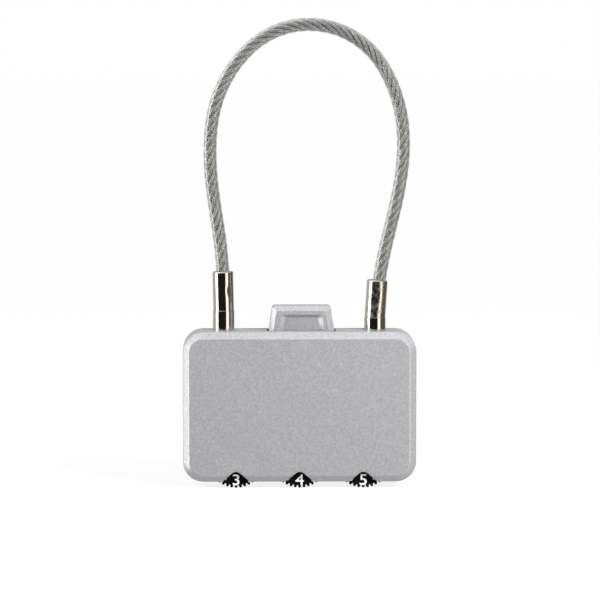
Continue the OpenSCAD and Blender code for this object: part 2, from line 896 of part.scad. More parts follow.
// The cable's path lies in the plane between the two pins. It is a chain of stretches,
// each [length, clockwise turn], from inside the fixed sleeve to inside the other.
cable_end = 2.2;
start_heading = 90 + anchor_lean;
end_heading = -90 - plug_lean;
start_point = [-pin_x, anchor_seam_z] + cable_end * [-sin(anchor_lean), cos(anchor_lean)];
end_point = [pin_x, plug_seam_z] + cable_end * [sin(plug_lean), cos(plug_lean)];

// Bends as [radius, turn]: the two sides' curves, before and after the crown
rising_bends = [[45.5, 14], [21.5, 40]];
falling_bends = [[24.5, 29.5], [42, 14.7]];
// The cable springs outwards a little where it leaves each sleeve
flare_l = 4;
start_flare = -6.7;
end_flare = -6.2;
falling_leg = 10.3;
side_turn = rising_bends[0][1] + rising_bends[1][1] + falling_bends[0][1] + falling_bends[1][1];
crown_turn = start_heading - end_heading - side_turn - start_flare - end_flare;

function bend(b) = [b[0] * b[1] * PI / 180, b[1]];
function cable_run(leg, crown_r) = [
    [anchor_sleeve_l - cable_end, 0], [flare_l, start_flare], [leg, 0],
    bend(rising_bends[0]), bend(rising_bends[1]), bend([crown_r, crown_turn]),
    bend(falling_bends[0]), bend(falling_bends[1]), [falling_leg, 0],
    [flare_l, end_flare], [plug_sleeve_l - cable_end, 0]
];

// Displacement along a stretch that starts at a heading
function stride(heading, s) =
    s[1] == 0
    ? s[0] * [cos(heading), sin(heading)]
    : s[0] / (s[1] * PI / 180)
        * [sin(heading) - sin(heading - s[1]), cos(heading - s[1]) - cos(heading)];
function heading_at(run, i) = i == 0 ? start_heading : heading_at(run, i - 1) - run[i - 1][1];
function point_at(run, i) =
    i == 0 ? start_point : point_at(run, i - 1) + stride(heading_at(run, i - 1), run[i - 1]);

// The rising leg's length and the crown's radius close the path on the far sleeve:
// two unknown lengths, found from the gap that a run without them leaves
open_run = cable_run(0, 0);
closing_gap = end_point - point_at(open_run, len(open_run));
leg_way = stride(heading_at(open_run, 2), [1, 0]);
crown_way = stride(heading_at(open_run, 5), bend([1, crown_turn]));
closing_det = leg_way[0] * crown_way[1] - leg_way[1] * crown_way[0];
rising_leg = (closing_gap[0] * crown_way[1] - closing_gap[1] * crown_way[0]) / closing_det;
crown_r = (leg_way[0] * closing_gap[1] - leg_way[1] * closing_gap[0]) / closing_det;
run = cable_run(rising_leg, crown_r);

// Places along the cable as [point, heading]
function cable_places() = concat(
    [for (i = [0:len(run) - 1])
        let (steps = max(1, ceil(abs(run[i][1]) / 8)), h = heading_at(run, i), p = point_at(run, i))
        for (k = [0:steps - 1])
            [p + stride(h, run[i] * k / steps), h - run[i][1] * k / steps]],
    [[point_at(run, len(run)), end_heading]]
);

// Rings round the cable's path at a radius
function cable_rings(r) =
    let (sides = 16)
    [for (place = cable_places())
        let (p = place[0], h = place[1], out = [-sin(h), 0, cos(h)])
        [for (j = [0:sides - 1]) let (a = 360 * j / sides)
            [p[0], 0, p[1]] + r * cos(a) * out + [0, r * sin(a), 0]]];

module wire_rope() {
    color(STEEL)
        sweep(cable_rings(rope_r));
}

// Clear coating over the rope
module cable_jacket() {
    color([0.85, 0.87, 0.88, 0.6])
        sweep_tube(cable_rings(jacket_r), cable_rings(rope_r + RUN));
}

// ---------------------------------------------------------------- drawing

front_shell();
rear_shell();
case_rivets();
dial_axles();
guide_pins();
detent_spring_left();
detent_spring_mid();
detent_spring_right();
anchor_pin();
anchor_clip();
anchor_sleeve();
wire_rope();
cable_jacket();
handle();
fence_plate();
fence_rivets();
cam_pin();
handle_springs();
latch_bolt();
plug_pin();
plug_sleeve();
number_wheel_left();
number_wheel_mid();
number_wheel_right();
gate_hub_left();
gate_hub_mid();
gate_hub_right();
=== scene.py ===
"""Looks of the cable luggage lock: a silver briefcase-shaped case with three black number
dials, a press handle, and a loop of clear-coated wire rope held by two nickel pins."""

import math

import bpy
import numpy as np
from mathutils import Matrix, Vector


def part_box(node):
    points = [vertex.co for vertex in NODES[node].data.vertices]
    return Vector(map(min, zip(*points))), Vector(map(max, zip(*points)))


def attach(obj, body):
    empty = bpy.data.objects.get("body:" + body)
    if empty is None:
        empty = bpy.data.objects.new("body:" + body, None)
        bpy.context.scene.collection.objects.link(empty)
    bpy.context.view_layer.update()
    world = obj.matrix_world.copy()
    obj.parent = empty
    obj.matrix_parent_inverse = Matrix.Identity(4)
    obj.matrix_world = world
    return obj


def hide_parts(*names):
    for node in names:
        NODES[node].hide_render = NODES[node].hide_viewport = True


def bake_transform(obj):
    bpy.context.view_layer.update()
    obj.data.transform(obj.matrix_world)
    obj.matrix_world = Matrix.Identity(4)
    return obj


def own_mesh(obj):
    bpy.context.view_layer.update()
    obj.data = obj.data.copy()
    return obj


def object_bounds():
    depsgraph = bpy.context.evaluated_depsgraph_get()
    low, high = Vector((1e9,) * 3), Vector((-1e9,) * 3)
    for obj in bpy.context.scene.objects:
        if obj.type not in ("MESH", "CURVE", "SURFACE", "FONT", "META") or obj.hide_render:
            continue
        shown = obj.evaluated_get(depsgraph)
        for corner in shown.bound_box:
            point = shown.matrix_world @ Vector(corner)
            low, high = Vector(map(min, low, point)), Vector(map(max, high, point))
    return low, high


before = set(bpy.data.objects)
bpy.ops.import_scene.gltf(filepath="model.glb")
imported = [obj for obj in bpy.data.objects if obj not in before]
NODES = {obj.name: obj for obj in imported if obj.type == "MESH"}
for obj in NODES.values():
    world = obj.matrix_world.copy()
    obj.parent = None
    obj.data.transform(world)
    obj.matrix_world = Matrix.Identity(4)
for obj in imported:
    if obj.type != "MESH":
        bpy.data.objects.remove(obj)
cad_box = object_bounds()

MM = 0.001
TURN = 2 * math.pi


# ---------------------------------------------------------------- reading the frame


def points(node):
    """The CAD node's vertices at rest, as rows of x, y, z in metres."""
    return np.array([v.co for v in NODES[node].data.vertices], float)


def end_centre(node, top, depth=0.3 * MM):
    """Middle of the ring of vertices at a node's top or bottom end."""
    p = points(node)
    z = p[:, 2]
    ring = p[z > z.max() - depth] if top else p[z < z.min() + depth]
    return Vector((ring.min(0) + ring.max(0)) / 2)


# ---------------------------------------------------------------- mesh helpers


def add_mesh(name, verts, faces, material, smooth=True):
    """A new object from lists of vertices and faces."""
    mesh = bpy.data.meshes.new(name)
    mesh.from_pydata([tuple(v) for v in verts], [], [tuple(f) for f in faces])
    mesh.validate()
    mesh.polygons.foreach_set("use_smooth", [smooth] * len(mesh.polygons))
    mesh.materials.append(material)
    mesh.update()
    obj = bpy.data.objects.new(name, mesh)
    bpy.context.scene.collection.objects.link(obj)
    return obj


def grid_faces(rows, cols, first=0):
    """Quads of a surface whose rows are closed loops of cols vertices."""
    return [
        (
            first + i * cols + j,
            first + i * cols + (j + 1) % cols,
            first + (i + 1) * cols + (j + 1) % cols,
            first + (i + 1) * cols + j,
        )
        for i in range(rows - 1)
        for j in range(cols)
    ]


def rings_to_solid(rings):
    """Vertices and faces of a solid swept through rings, closed by a flat cap at each end."""
    rows, cols = rings.shape[:2]
    verts = rings.reshape(-1, 3)
    faces = grid_faces(rows, cols)
    faces.append(tuple(range(cols - 1, -1, -1)))
    faces.append(tuple((rows - 1) * cols + j for j in range(cols)))
    return verts, faces


CAD_CREASE = 28
TURNED_CREASE = 40


def smooth_by_angle(obj, degrees):
    """Welds a CAD mesh's split vertices and shades it smooth except along its sharp edges."""
    tree = bpy.data.node_groups.get("welded_smooth") or welded_smooth_group()
    mod = obj.modifiers.new("welded_smooth", "NODES")
    mod.node_group = tree
    angle_id = next(i.identifier for i in tree.interface.items_tree if i.name == "Angle")
    mod[angle_id] = math.radians(degrees)
    flat = obj.modifiers.new("flat_faces_stay_flat", "WEIGHTED_NORMAL")
    flat.keep_sharp = True
    flat.weight = 80


def welded_smooth_group():
    """Geometry nodes: merge by distance, then smooth shading split at edges over an angle."""
    tree = bpy.data.node_groups.new("welded_smooth", "GeometryNodeTree")
    tree.interface.new_socket("Geometry", in_out="INPUT", socket_type="NodeSocketGeometry")
    tree.interface.new_socket("Angle", in_out="INPUT", socket_type="NodeSocketFloat")
    tree.interface.new_socket("Geometry", in_out="OUTPUT", socket_type="NodeSocketGeometry")
    new, link = tree.nodes.new, tree.links.new
    start, end = new("NodeGroupInput"), new("NodeGroupOutput")
    weld = new("GeometryNodeMergeByDistance")
    weld.inputs["Distance"].default_value = 0.002 * MM
    faces = new("GeometryNodeSetShadeSmooth")
    faces.inputs["Shade Smooth"].default_value = True
    edges = new("GeometryNodeSetShadeSmooth")
    edges.domain = "EDGE"
    edges.inputs["Shade Smooth"].default_value = False
    angle = new("GeometryNodeInputMeshEdgeAngle")
    sharp = new("FunctionNodeCompare")
    sharp.operation = "GREATER_THAN"
    link(start.outputs["Geometry"], weld.inputs["Geometry"])
    link(weld.outputs["Geometry"], faces.inputs["Geometry"])
    link(faces.outputs["Geometry"], edges.inputs["Geometry"])
    link(angle.outputs["Unsigned Angle"], sharp.inputs[0])
    link(start.outputs["Angle"], sharp.inputs[1])
    link(sharp.outputs["Result"], edges.inputs["Selection"])
    link(edges.outputs["Geometry"], end.inputs["Geometry"])
    return tree


# ---------------------------------------------------------------- materials


class Shader:
    """A material under construction: a Principled surface and a few node shortcuts."""

    def __init__(self, name, **inputs):
        self.material = bpy.data.materials.new(name)
        self.material.use_nodes = True
        self.tree = self.material.node_tree
        self.surface = self.tree.nodes["Principled BSDF"]
        self.output = self.tree.nodes["Material Output"]
        self.set(**inputs)
        self.place = self.tree.nodes.new("ShaderNodeTexCoord").outputs["Object"]

    def set(self, **inputs):
        """Sets inputs of the Principled surface, with _ for each space in their names."""
        for key, value in inputs.items():
            self.surface.inputs[key.replace("_", " ")].default_value = value

    def node(self, kind, **inputs):
        """A new node. Its inputs are set or linked by name, or by number as i0, i1 and so on."""
        n = self.tree.nodes.new(kind)
        for key, value in inputs.items():
            by_number = key[0] == "i" and key[1:].isdigit()
            socket = n.inputs[int(key[1:]) if by_number else key]
            if isinstance(value, bpy.types.NodeSocket):
                self.tree.links.new(value, socket)
            else:
                socket.default_value = value
        return n

    def link(self, source, target):
        """Joins a node's output to another's input."""
        self.tree.links.new(source, target)

    def noise(self, size, detail=2.0, stretch=(1, 1, 1)):
        """Noise whose features are about size metres across, 0 to 1."""
        scaled = self.node("ShaderNodeMapping", Vector=self.place, Scale=stretch).outputs[0]
        noise = self.node("ShaderNodeTexNoise", Vector=scaled, Scale=1 / size, Detail=detail)
        return noise.outputs[0]

    def flakes(self, size):
        """A random value for each cell about size metres across, 0 to 1."""
        cells = self.node("ShaderNodeTexVoronoi", Vector=self.place, Scale=1 / size)
        return self.node("ShaderNodeSeparateColor", Color=cells.outputs["Color"]).outputs[0]

    def spread(self, value, low, high, start=0.0, stop=1.0):
        """Maps start..stop to low..high, held at the ends."""
        n = self.node("ShaderNodeMapRange", Value=value)
        n.inputs["From Min"].default_value = start
        n.inputs["From Max"].default_value = stop
        n.inputs["To Min"].default_value = low
        n.inputs["To Max"].default_value = high
        return n.outputs[0]

    def times(self, a, b):
        """The product of two values."""
        n = self.node("ShaderNodeMath", i0=a, i1=b)
        n.operation = "MULTIPLY"
        return n.outputs[0]

    def tint(self, colour, factor):
        """The colour made lighter or darker by a factor that varies from place to place."""
        n = self.node("ShaderNodeVectorMath", i0=colour)
        n.operation = "SCALE"
        self.link(factor, n.inputs["Scale"])
        return n.outputs[0]

    def bump(self, height, depth):
        """Relief of a given depth in metres."""
        n = self.node("ShaderNodeBump", Height=height, Distance=depth)
        self.link(n.outputs[0], self.surface.inputs["Normal"])


def paint_material():
    """Satin silver metallic paint: fine flakes over a slow unevenness, slightly rough."""
    s = Shader("case_paint", Metallic=0.6, Roughness=0.42, Specular_IOR_Level=0.5)
    flakes = s.spread(s.flakes(0.09 * MM), 0.8, 1.2)
    cloud = s.spread(s.noise(0.4 * MM, 3), 0.9, 1.1, 0.25, 0.75)
    s.link(s.tint((0.522, 0.527, 0.545), s.times(flakes, cloud)), s.surface.inputs["Base Color"])
    s.link(s.spread(s.noise(0.3 * MM, 2), 0.34, 0.5, 0.3, 0.7), s.surface.inputs["Roughness"])
    s.bump(s.noise(0.16 * MM, 2), 0.006 * MM)
    return s.material


def nickel_material(name, bright, dull, patch):
    """Warm nickel plate with faint turning marks and dull patches.

    bright and dull are the roughness of the two, and patch is the patches' size."""
    s = Shader(name, Metallic=1.0)
    marks = s.noise(0.09 * MM, 2, (0.2, 0.2, 3))
    s.link(s.tint((0.71, 0.67, 0.61), s.spread(marks, 0.9, 1.05)), s.surface.inputs["Base Color"])
    s.link(s.spread(s.noise(patch, 4), bright, dull, 0.35, 0.7), s.surface.inputs["Roughness"])
    s.bump(s.noise(patch, 3), 0.02 * patch * dull)
    return s.material


def black_plastic_material():
    """Black moulded plastic with a fine texture and slightly polished patches."""
    s = Shader("dial_black", Specular_IOR_Level=0.16)
    s.link(
        s.tint((0.003, 0.003, 0.0035), s.spread(s.noise(0.3 * MM, 3), 0.6, 1.5)),
        s.surface.inputs["Base Color"],
    )
    s.link(s.spread(s.noise(0.5 * MM, 3), 0.3, 0.5, 0.3, 0.7), s.surface.inputs["Roughness"])
    s.bump(s.noise(0.05 * MM, 2), 0.003 * MM)
    return s.material


def number_paint_material():
    """White printed ink, a little uneven."""
    s = Shader("number_white", Roughness=0.45)
    s.link(
        s.tint((0.86, 0.86, 0.84), s.spread(s.noise(0.12 * MM, 2), 0.93, 1.03)),
        s.surface.inputs["Base Color"],
    )
    s.bump(s.noise(0.06 * MM, 2), 0.002 * MM)
    return s.material


def steel_material(name, colour, roughness, grain=(1, 1, 1)):
    """Bare or plated metal with a directional grain."""
    s = Shader(name, Metallic=1.0)
    lines = s.noise(0.12 * MM, 3, grain)
    s.link(s.tint(colour, s.spread(lines, 0.82, 1.1)), s.surface.inputs["Base Color"])
    s.link(s.spread(lines, roughness - 0.08, roughness + 0.1), s.surface.inputs["Roughness"])
    s.bump(lines, 0.002 * MM)
    return s.material


def wire_material():
    """Galvanised rope wire: grey, bright along the wires, dull in places."""
    s = Shader("rope_wire", Metallic=0.85)
    patches = s.noise(0.5 * MM, 3)
    s.link(
        s.tint((0.54, 0.55, 0.54), s.spread(patches, 0.75, 1.15, 0.3, 0.7)),
        s.surface.inputs["Base Color"],
    )
    s.link(s.spread(patches, 0.37, 0.25, 0.3, 0.7), s.surface.inputs["Roughness"])
    return s.material


def coating_material():
    """Thin clear plastic that lies close on the rope: a see-through film with a soft
    gloss, greyer where it is seen edge-on."""
    s = Shader("clear_coating", Base_Color=(1, 1, 1, 1), Metallic=1.0)
    s.link(s.spread(s.noise(0.8 * MM, 3), 0.22, 0.36, 0.3, 0.7), s.surface.inputs["Roughness"])
    s.bump(s.noise(0.9 * MM, 2), 0.01 * MM)
    edge_on = s.node("ShaderNodeLayerWeight", Blend=0.35)
    film = s.tint((0.985, 0.985, 0.98), s.spread(edge_on.outputs["Facing"], 1.0, 0.72, 0.3, 1.0))
    clear = s.node("ShaderNodeBsdfTransparent", Color=film).outputs[0]
    gloss = s.spread(s.node("ShaderNodeFresnel", IOR=1.4).outputs[0], 0.04, 0.4, 0.03, 0.4)
    seen = s.node("ShaderNodeMixShader", i0=gloss, i1=clear, i2=s.surface.outputs[0])
    s.link(seen.outputs[0], s.output.inputs["Surface"])
    return s.material


PAINT = paint_material()
NICKEL = nickel_material("nickel", 0.05, 0.17, 0.5 * MM)
WORN_NICKEL = nickel_material("nickel_worn", 0.16, 0.42, 0.8 * MM)
BLACK = black_plastic_material()
WHITE = number_paint_material()
WIRE = wire_material()
COATING = coating_material()
PLATE = steel_material("plated_steel", (0.62, 0.62, 0.60), 0.34, (0.15, 1, 1))
SPRING = steel_material("spring_steel", (0.45, 0.45, 0.47), 0.3)
TURNED = steel_material("turned_steel", (0.60, 0.60, 0.61), 0.26, (1, 0.2, 1))
BRASS = steel_material("brass", (0.72, 0.53, 0.24), 0.3, (1, 0.3, 1))


# ---------------------------------------------------------------- CAD parts that stay

FINISHES = {
    "front_shell": (PAINT, "case_paint"),
    "rear_shell": (PAINT, "case_paint"),
    "handle": (PAINT, "case_paint"),
    "number_wheel_left": (BLACK, "dial_black"),
    "number_wheel_mid": (BLACK, "dial_black"),
    "number_wheel_right": (BLACK, "dial_black"),
    "gate_hub_left": (BRASS, "hub_brass"),
    "gate_hub_mid": (BRASS, "hub_brass"),
    "gate_hub_right": (BRASS, "hub_brass"),
    "latch_bolt": (BRASS, "hub_brass"),
    "fence_plate": (PLATE, "plate_steel"),
    "fence_rivets": (PLATE, "plate_steel"),
    "dial_axles": (TURNED, "plate_steel"),
    "guide_pins": (TURNED, "plate_steel"),
    "cam_pin": (TURNED, "plate_steel"),
    "anchor_clip": (SPRING, "plate_steel"),
    "case_rivets": (TURNED, "rivet_steel"),
    "detent_spring_left": (SPRING, "spring_steel"),
    "detent_spring_mid": (SPRING, "spring_steel"),
    "detent_spring_right": (SPRING, "spring_steel"),
}


def dress_cad_parts():
    """Gives each CAD part that stays visible its material and smooth shading."""
    for node, (material, slot) in FINISHES.items():
        obj = NODES[node]
        obj.data.materials.clear()
        obj.data.materials.append(material)
        smooth_by_angle(obj, CAD_CREASE)


# ---------------------------------------------------------------- cable

# Six strands of six wires; each lay is the length of one turn, of a strand round the rope
# and of a wire round its strand. The rope fills this share of the coating's radius.
STRANDS = 6
STRAND_LAY = 10.6 * MM
WIRES = 6
WIRE_LAY = 9 * MM
ROPE_FILL = 0.91
CORE_SIDES = 8
WIRE_SIDES = 6
ROPE_STEP = 0.36 * MM
COATING_STEP = 0.3 * MM


def cable_path(step):
    """The cable's centreline from the fixed sleeve to the other, with points step apart.

    The CAD rope is a rod swept in the plane y = 0, so its farthest vertices in y lie
    right behind the centreline. A smooth curve goes through them."""
    p = points("wire_rope")
    rim = p[p[:, 1] > p[:, 1].max() - 0.01 * MM][:, [0, 2]]
    rim = np.unique(np.round(rim, 6), axis=0)
    middle = np.array([0.0, (rim[:, 1].min() + rim[:, 1].max()) / 2])
    around = np.arctan2(rim[:, 1] - middle[1], rim[:, 0] - middle[0])
    knots = rim[np.argsort(-((around + math.pi / 2) % TURN))]
    along = np.concatenate([[0], np.cumsum(np.linalg.norm(np.diff(knots, axis=0), axis=1))])
    count = int(along[-1] / step) + 1
    places = np.linspace(0, along[-1], count)
    xz = np.column_stack([natural_spline(along, knots[:, k], places) for k in (0, 1)])
    return np.column_stack([xz[:, 0], np.zeros(count), xz[:, 1]])


def natural_spline(x, y, at):
    """Natural cubic spline through (x, y), read at the given places."""
    n, h = len(x), np.diff(x)
    a, b = np.eye(n), np.zeros(n)
    for i in range(1, n - 1):
        a[i, i - 1 : i + 2] = [h[i - 1], 2 * (h[i - 1] + h[i]), h[i]]
        b[i] = 6 * ((y[i + 1] - y[i]) / h[i] - (y[i] - y[i - 1]) / h[i - 1])
    m = np.linalg.solve(a, b)
    k = np.clip(np.searchsorted(x, at) - 1, 0, n - 2)
    t, s = at - x[k], x[k + 1] - at
    return (
        (m[k] * s**3 + m[k + 1] * t**3) / (6 * h[k])
        + (y[k] / h[k] - m[k] * h[k] / 6) * s
        + (y[k + 1] / h[k] - m[k + 1] * h[k] / 6) * t
    )


def path_frame(path):
    """Arc length, unit tangent, in-plane normal and depth direction along a flat path."""
    tangent = np.gradient(path, axis=0)
    tangent /= np.linalg.norm(tangent, axis=1)[:, None]
    depth = np.tile([0.0, 1.0, 0.0], (len(path), 1))
    normal = np.column_stack([-tangent[:, 2], np.zeros(len(path)), tangent[:, 0]])
    arc = np.concatenate([[0], np.cumsum(np.linalg.norm(np.diff(path, axis=0), axis=1))])
    return arc, tangent, normal, depth


def rings_about(path, normal, depth, radius, sides):
    """Circles of vertices round each point of a path."""
    a = np.arange(sides) * TURN / sides
    return (
        path[:, None]
        + radius * np.cos(a)[None, :, None] * normal[:, None]
        + radius * np.sin(a)[None, :, None] * depth[:, None]
    )


def join_parts(parts):
    """One list of vertices and faces from several."""
    verts, faces, first = [], [], 0
    for v, f in parts:
        verts.append(v)
        faces += [tuple(first + i for i in face) for face in f]
        first += len(v)
    return np.concatenate(verts), faces


def jacket_radius():
    """Outer radius of the cable's coating."""
    low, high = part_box("cable_jacket")
    return (high.y - low.y) / 2


def make_rope():
    """Six strands of six wires laid round a core, following the cable's path."""
    path = cable_path(ROPE_STEP)
    arc, tangent, normal, depth = path_frame(path)
    radius = ROPE_FILL * jacket_radius()
    strand_r = radius / 3
    wire_r = strand_r / 3
    parts = [rings_to_solid(rings_about(path, normal, depth, strand_r, CORE_SIDES))]
    for i in range(STRANDS):
        a = TURN * (i / STRANDS - arc / STRAND_LAY)
        out = np.cos(a)[:, None] * normal + np.sin(a)[:, None] * depth
        side = np.cross(tangent, out)
        strand = path + 2 * strand_r * out
        for j in range(WIRES):
            b = TURN * (j / WIRES + arc / WIRE_LAY)
            wire = strand + 2 * wire_r * (np.cos(b)[:, None] * out + np.sin(b)[:, None] * side)
            parts.append(rings_to_solid(rings_about(wire, normal, depth, wire_r, WIRE_SIDES)))
    verts, faces = join_parts(parts)
    rope = add_mesh("rope_strands", verts, faces, WIRE)
    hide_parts("wire_rope")
    return rope


def make_coating():
    """The clear coating: a smooth rod that swells slightly over each strand."""
    path = cable_path(COATING_STEP)
    arc, tangent, normal, depth = path_frame(path)
    radius = jacket_radius()
    sides = 48
    half_ripple = 0.02 * MM
    a = np.arange(sides)[None, :] * TURN / sides
    swell = half_ripple * (np.cos(STRANDS * (a + TURN * arc[:, None] / STRAND_LAY)) - 1)
    r = (radius + swell)[:, :, None]
    rings = path[:, None] + r * (
        np.cos(a)[:, :, None] * normal[:, None] + np.sin(a)[:, :, None] * depth[:, None]
    )
    coating = add_mesh("cable_coating", *rings_to_solid(rings), COATING)
    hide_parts("cable_jacket")
    return coating


def bend_with_plug(obj):
    """Bakes the object's placement into its mesh."""
    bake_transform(obj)


# ---------------------------------------------------------------- pins and sleeves

LATHE_SIDES = 96
BORE_GAP = 0.06 * MM


def lathe(profile):
    """Rings of vertices made by turning an outline of (radius, height) about Z."""
    a = np.arange(LATHE_SIDES) * TURN / LATHE_SIDES
    return np.array([
        np.column_stack([r * np.cos(a), r * np.sin(a), np.full(LATHE_SIDES, z)])
        for r, z in profile
    ])


def rounded(corner, before, after, radius, steps=5):
    """Points that round an outline's corner, between the points before and after it."""
    c, p, q = (np.array(v, float) for v in (corner, before, after))
    u, v = (p - c) / np.linalg.norm(p - c), (q - c) / np.linalg.norm(q - c)
    start, end = c + u * radius, c + v * radius
    t = np.linspace(0, 1, steps + 1)[:, None]
    return [tuple(x) for x in (1 - t) ** 2 * start + 2 * t * (1 - t) * c + t**2 * end]


def subdivided(profile, longest):
    """The outline with extra points, so that no stretch is longer than a limit."""
    out = [profile[0]]
    for p, q in zip(profile, profile[1:]):
        n = max(1, math.ceil(math.dist(p, q) / longest))
        out += [tuple(np.array(p) + (np.array(q) - np.array(p)) * k / n) for k in range(1, n + 1)]
    return out


def make_sleeve(node, name, body, material, degrees, share, half_width, half_height, depth):
    """Crimp sleeve: a thin tube with a rolled mouth and two crimp dents.

    One dent is at an angle from the front, in degrees, and the other is opposite. share is
    their height as a share of the sleeve's length."""
    low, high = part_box(node)
    foot = Vector((end_centre("anchor_pin" if body == "case" else "plug_pin", False).x, 0, low.z))
    mouth = end_centre(node, True)
    lean = (mouth - foot).normalized()
    length = (mouth - foot).length
    radius = (high.y - low.y) / 2
    bore = jacket_radius() + BORE_GAP
    wall = radius - bore
    lip = 0.34 * MM
    outline = [(bore, 0.0), (radius, 0.0)]
    outline += rounded((radius, length), (radius, 0), (bore, length), lip, 6)
    outline += rounded((bore, length), (radius, length), (bore, 0), 0.35 * wall, 3)
    outline.append((bore, 0.0))
    outline = subdivided(outline, 0.16 * MM)
    verts = lathe(outline).reshape(-1, 3)
    faces = grid_faces(len(outline), LATHE_SIDES)
    angle = np.arctan2(verts[:, 0], -verts[:, 1])
    r = np.hypot(verts[:, 0], verts[:, 1])
    for dent in (degrees, degrees + 180):
        across = (angle - math.radians(dent) + math.pi) % TURN - math.pi
        along = verts[:, 2] - share * length
        away = np.hypot(across * radius / half_width, along / half_height)
        push = depth * np.exp(-(away**2)) * (r > bore + 0.3 * wall)
        verts[:, :2] *= (1 - push / r)[:, None]
    turn = Vector((0, 0, 1)).rotation_difference(lean).to_matrix()
    verts = verts @ np.array(turn).T + np.array(foot)
    verts[:, 2] = np.maximum(verts[:, 2], low.z)
    sleeve = add_mesh(name, verts, faces, material)
    smooth_by_angle(sleeve, TURNED_CREASE)
    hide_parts(node)
    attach(sleeve, body)


def make_pin(node, name, body, groove, neck_radius):
    """Turned cable pin with softened edges; its groove is given as (bottom, top) heights.

    The outline stops a hair short of the axis, so that its end rings stay open circles."""
    low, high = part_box(node)
    radius = (high.x - low.x) / 2
    axis = Vector(((low.x + high.x) / 2, 0, 0))
    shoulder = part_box("anchor_sleeve" if body == "case" else "plug_sleeve")[0].z
    spigot = 0.8 * MM
    bevel = 0.4 * MM
    soft = 0.05 * MM
    hair = 0.001 * MM
    corners = [
        (0, low.z), (radius - bevel, low.z), (radius, low.z + bevel),
        (radius, groove[0]), (neck_radius, groove[0]), (neck_radius, groove[1]),
        (radius, groove[1]), (radius, shoulder), (spigot, shoulder), (spigot, high.z), (0, high.z),
    ]
    outline = [corners[0]]
    for i in range(1, len(corners) - 1):
        outline += rounded(corners[i], corners[i - 1], corners[i + 1], soft, 3)
    outline.append(corners[-1])
    outline = [(max(r, hair), z) for r, z in subdivided(outline, 0.3 * MM)]
    verts, faces = rings_to_solid(lathe(outline))
    pin = add_mesh(name, verts + np.array(axis), faces, NICKEL)
    smooth_by_angle(pin, TURNED_CREASE)
    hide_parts(node)
    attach(pin, body)


def groove_of(node):
    """Bottom and top heights and neck radius of the groove in a cable pin.

    The neck is what is slimmer than the pin between its rounded tip and its spigot."""
    p = points(node)
    low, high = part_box(node)
    r = np.hypot(p[:, 0] - (low.x + high.x) / 2, p[:, 1])
    shaft = (p[:, 2] > low.z + 1 * MM) & (p[:, 2] < low.z + 6 * MM)
    neck = p[shaft & (r < 0.75 * r.max()), 2]
    return (neck.min(), neck.max()), r[shaft].min()


# ---------------------------------------------------------------- dials' numbers


def make_numbers(side, first):
    """Ten white numbers on a dial's face; the number named first is at the bottom."""
    low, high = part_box(f"number_wheel_{side}")
    hub_low, hub_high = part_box(f"gate_hub_{side}")
    centre = Vector(((low.x + high.x) / 2, low.y, (hub_low.z + hub_high.z) / 2))
    ring = 0.725 * (high.z - low.z) / 2
    size = 2.62 * MM
    stretch = 1.17
    proud = 0.03 * MM
    parts = []
    for k in range(10):
        curve = bpy.data.curves.new("figure", "FONT")
        curve.body = str((first + k) % 10)
        curve.size = size
        curve.align_x = "CENTER"
        curve.extrude = proud
        curve.resolution_u = 6
        curve.offset = 0.015 * MM
        text = bpy.data.objects.new("figure", curve)
        bpy.context.scene.collection.objects.link(text)
        bpy.context.view_layer.update()
        mesh = bpy.data.meshes.new_from_object(
            text.evaluated_get(bpy.context.evaluated_depsgraph_get()))
        v = np.array([p.co for p in mesh.vertices], float)
        v[:, 0] -= (v[:, 0].min() + v[:, 0].max()) / 2
        v[:, 1] -= (v[:, 1].min() + v[:, 1].max()) / 2
        flat = np.column_stack([stretch * v[:, 0], -v[:, 2], v[:, 1] - ring])
        a = TURN * k / 10
        turned = np.column_stack([
            flat[:, 0] * math.cos(a) + flat[:, 2] * math.sin(a),
            flat[:, 1],
            -flat[:, 0] * math.sin(a) + flat[:, 2] * math.cos(a),
        ])
        parts.append((turned + np.array(centre), [tuple(p.vertices) for p in mesh.polygons]))
        bpy.data.objects.remove(text)
    verts, faces = join_parts(parts)
    numbers = add_mesh(f"numbers_{side}", verts, faces, WHITE, smooth=False)
    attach(numbers, f"dial_{side}")


# ---------------------------------------------------------------- handle springs


def make_handle_springs():
    """Two coil springs under the handle, with closed ends.

    closed is the turns that lie flat at each end, and end_pitch the share of the height
    that rises evenly all the way, so that those turns don't touch."""
    low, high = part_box("handle_springs")
    wire_r = 0.15 * MM
    outer = (high.y - low.y) / 2
    coil_r = outer - wire_r
    y = (low.y + high.y) / 2
    coils, per_turn = 8, 28
    closed = 0.75
    end_pitch = 0.06
    parts = []
    for x in (low.x + outer, high.x - outer):
        t = np.linspace(0, 1, coils * per_turn + 1)
        a = TURN * coils * t
        climb = np.clip((t * coils - closed) / (coils - 2 * closed), 0, 1)
        share = (1 - end_pitch) * climb + end_pitch * t
        z = low.z + wire_r + (high.z - low.z - 2 * wire_r) * share
        path = np.column_stack([x + coil_r * np.cos(a), y + coil_r * np.sin(a), z])
        out = np.column_stack([np.cos(a), np.sin(a), np.zeros(len(a))])
        tangent = np.gradient(path, axis=0)
        tangent /= np.linalg.norm(tangent, axis=1)[:, None]
        up = np.cross(tangent, out)
        parts.append(rings_to_solid(rings_about(path, out, -up, wire_r, 8)))
    springs = add_mesh("handle_coil_springs", *join_parts(parts), SPRING)
    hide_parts("handle_springs")
    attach(springs, "case")
    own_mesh(springs)


# ---------------------------------------------------------------- studio


# Brightness that the world's colour ramps call 1
PEAK = 8.0

